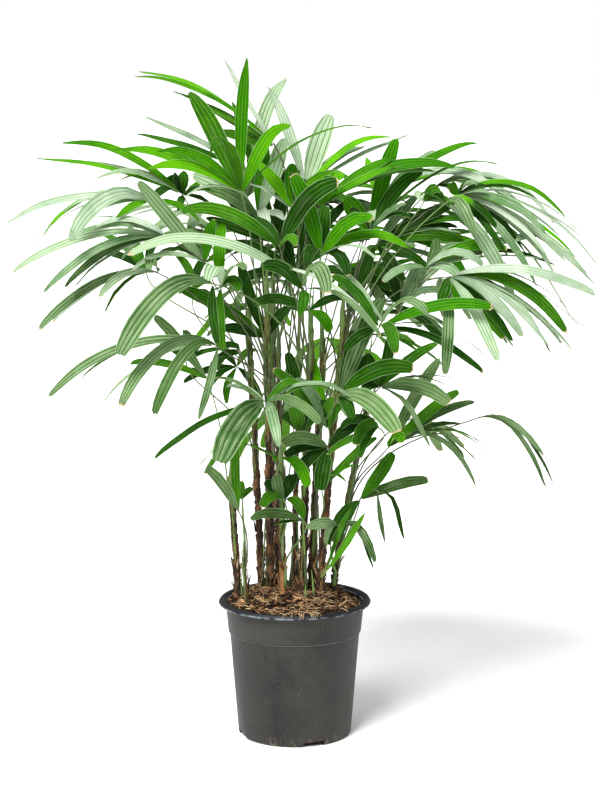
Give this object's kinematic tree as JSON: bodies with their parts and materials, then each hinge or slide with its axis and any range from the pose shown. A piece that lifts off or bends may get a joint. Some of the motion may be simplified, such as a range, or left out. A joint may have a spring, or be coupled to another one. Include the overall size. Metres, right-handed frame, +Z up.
{
  "type": "potted lady palm",
  "caption": "A lady palm: a clump of thin reed-like canes with fan-shaped fronds on long stalks, in a black plastic nursery pot.",
  "frame": {"origin": "middle of the pot's flat underside", "axes": "+Z up out of the pot, +X to the plant's right and -Y towards its front"},
  "size_m": [1.0461, 0.8728, 1.2279],
  "materials": {
    "pot": "matte moulded plastic with a dusty bloom",
    "mix": "loose bark and coir fibre",
    "cane": "green reed under dark brown fibrous sheaths",
    "leaf": "pleated leaf with a soft sheen"
  },
  "bodies": {
    "root": {"pot": "pot", "potting_mix": "mix", "cane_01": "cane", "cane_02": "cane", "cane_03": "cane", "cane_04": "cane", "cane_05": "cane", "cane_06": "cane", "cane_07": "cane", "cane_08": "cane", "cane_09": "cane", "cane_10": "cane", "cane_11": "cane", "cane_12": "cane", "frond_01": "leaf", "frond_02": "leaf", "frond_03": "leaf", "frond_04": "leaf", "frond_05": "leaf", "frond_06": "leaf", "frond_07": "leaf", "frond_08": "leaf", "frond_09": "leaf", "frond_10": "leaf", "frond_11": "leaf", "frond_12": "leaf", "frond_13": "leaf", "frond_14": "leaf", "frond_15": "leaf", "frond_16": "leaf", "frond_17": "leaf", "frond_18": "leaf", "frond_19": "leaf", "frond_20": "leaf", "frond_21": "leaf", "frond_22": "leaf", "frond_23": "leaf", "frond_24": "leaf", "frond_25": "leaf", "frond_26": "leaf", "frond_27": "leaf", "frond_28": "leaf", "frond_29": "leaf", "frond_30": "leaf", "frond_31": "leaf", "frond_32": "leaf", "frond_33": "leaf", "frond_34": "leaf", "frond_35": "leaf", "frond_36": "leaf", "frond_37": "leaf", "frond_38": "leaf", "frond_39": "leaf", "frond_40": "leaf", "frond_41": "leaf", "frond_42": "leaf", "frond_43": "leaf", "frond_44": "leaf", "frond_45": "leaf", "frond_46": "leaf"}
  },
  "joints": []
}
